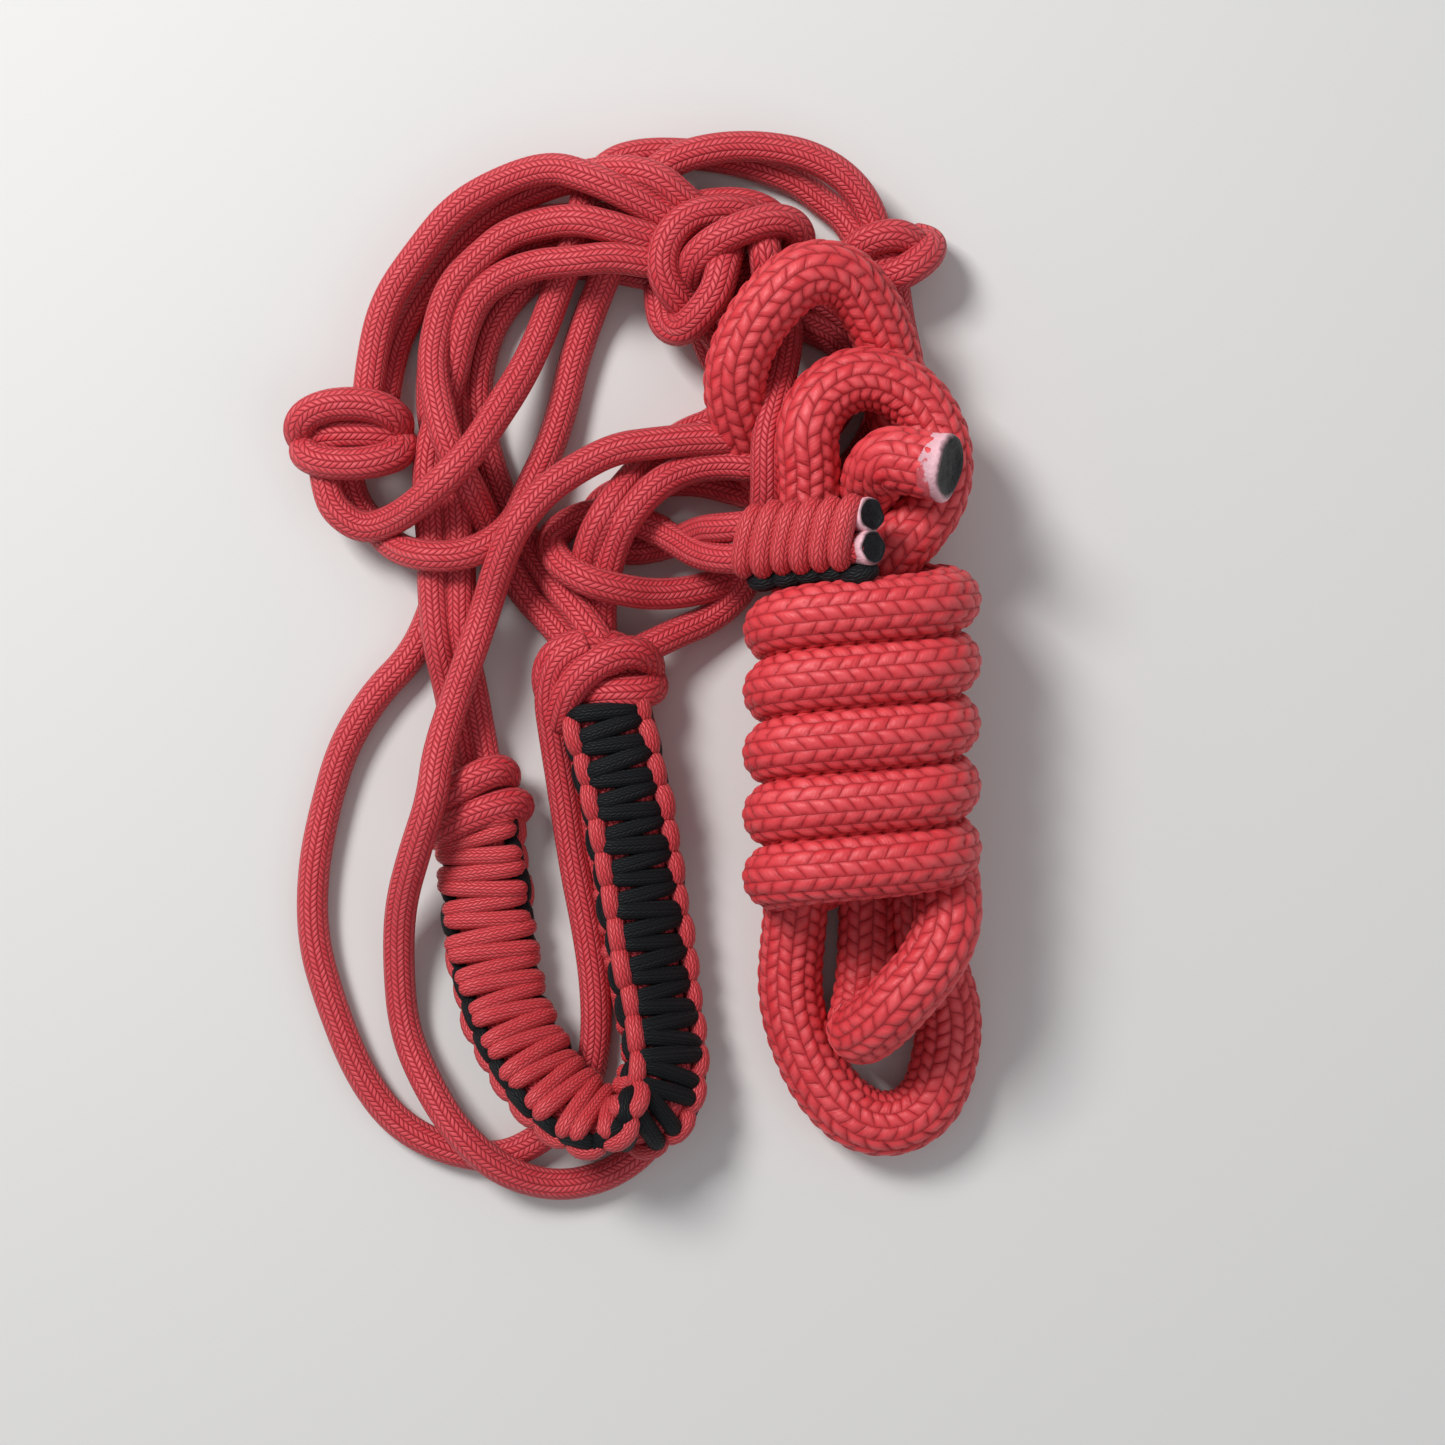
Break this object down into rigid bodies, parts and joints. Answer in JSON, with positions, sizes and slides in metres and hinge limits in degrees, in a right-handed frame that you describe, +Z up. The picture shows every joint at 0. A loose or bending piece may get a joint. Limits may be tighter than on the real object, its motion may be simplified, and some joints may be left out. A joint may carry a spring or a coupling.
{
  "type": "rope halter with lead rope",
  "caption": "Knotted rope horse halter with a woven noseband, and its thick braided lead rope looped on and wrapped into a short hank.",
  "frame": {"origin": "centre of the object's box, on the floor it lies on", "axes": "+Z up from the floor, +Y towards the crown of the halter, +X towards the lead rope's hank"},
  "size_m": [0.1517, 0.2318, 0.0451],
  "materials": {
    "lead_rope": "coarse glossy braid",
    "halter_rope": "fine satin braid with lengthwise ridges",
    "red_cord": "fine braided cord",
    "black_cord": "fine braided cord",
    "melted_end": "melted and hardened fibre"
  },
  "bodies": {
    "halter_and_lead": {"cheek_strand_inner": "halter_rope", "cheek_strand_outer": "halter_rope", "chin_strand_inner": "halter_rope", "chin_strand_outer": "halter_rope", "crown_strand_inner": "halter_rope", "crown_strand_outer": "halter_rope", "lead_eye_loop": "lead_rope", "lead_free_end": "lead_rope", "lead_hank_wraps": "lead_rope", "lead_locking_loop": "lead_rope", "lead_lower_bight": "lead_rope", "lead_turn_bight": "lead_rope", "left_cheek_knot": "halter_rope", "left_nose_knot": "halter_rope", "nose_core_lower": "halter_rope", "nose_core_upper": "halter_rope", "nose_weave_black": "black_cord", "nose_weave_red": "red_cord", "poll_strand_inner": "halter_rope", "poll_strand_outer": "halter_rope", "right_cheek_knot": "halter_rope", "right_nose_knot": "halter_rope", "tail_strand_inner": "halter_rope", "tail_strand_outer": "halter_rope", "throat_knot": "halter_rope", "throat_strand_inner": "halter_rope", "throat_strand_outer": "halter_rope", "tie_strand_inner": "halter_rope", "tie_strand_low": "halter_rope", "tie_strand_outer": "halter_rope"},
    "tail_end": {"tail_core_upper": "halter_rope", "tail_core_lower": "halter_rope", "tail_seal_upper": "melted_end", "tail_seal_lower": "melted_end", "tail_weave_red": "red_cord", "tail_weave_black": "black_cord"},
    "lead_end": {"lead_free_tip": "lead_rope", "lead_end_seal": "melted_end"}
  },
  "joints": [
    {"name": "tail_lift", "type": "hinge", "parent": "halter_and_lead", "child": "tail_end", "pos_m": [0.0205, 0.026, 0.0255], "axis": [0.0488, -0.9988, 0], "range_deg": [0, 60]},
    {"name": "lead_end_lift", "type": "hinge", "parent": "halter_and_lead", "child": "lead_end", "pos_m": [0.053, 0.0435, 0.0325], "axis": [-0.2408, -0.9706, 0], "range_deg": [0, 45]}
  ]
}
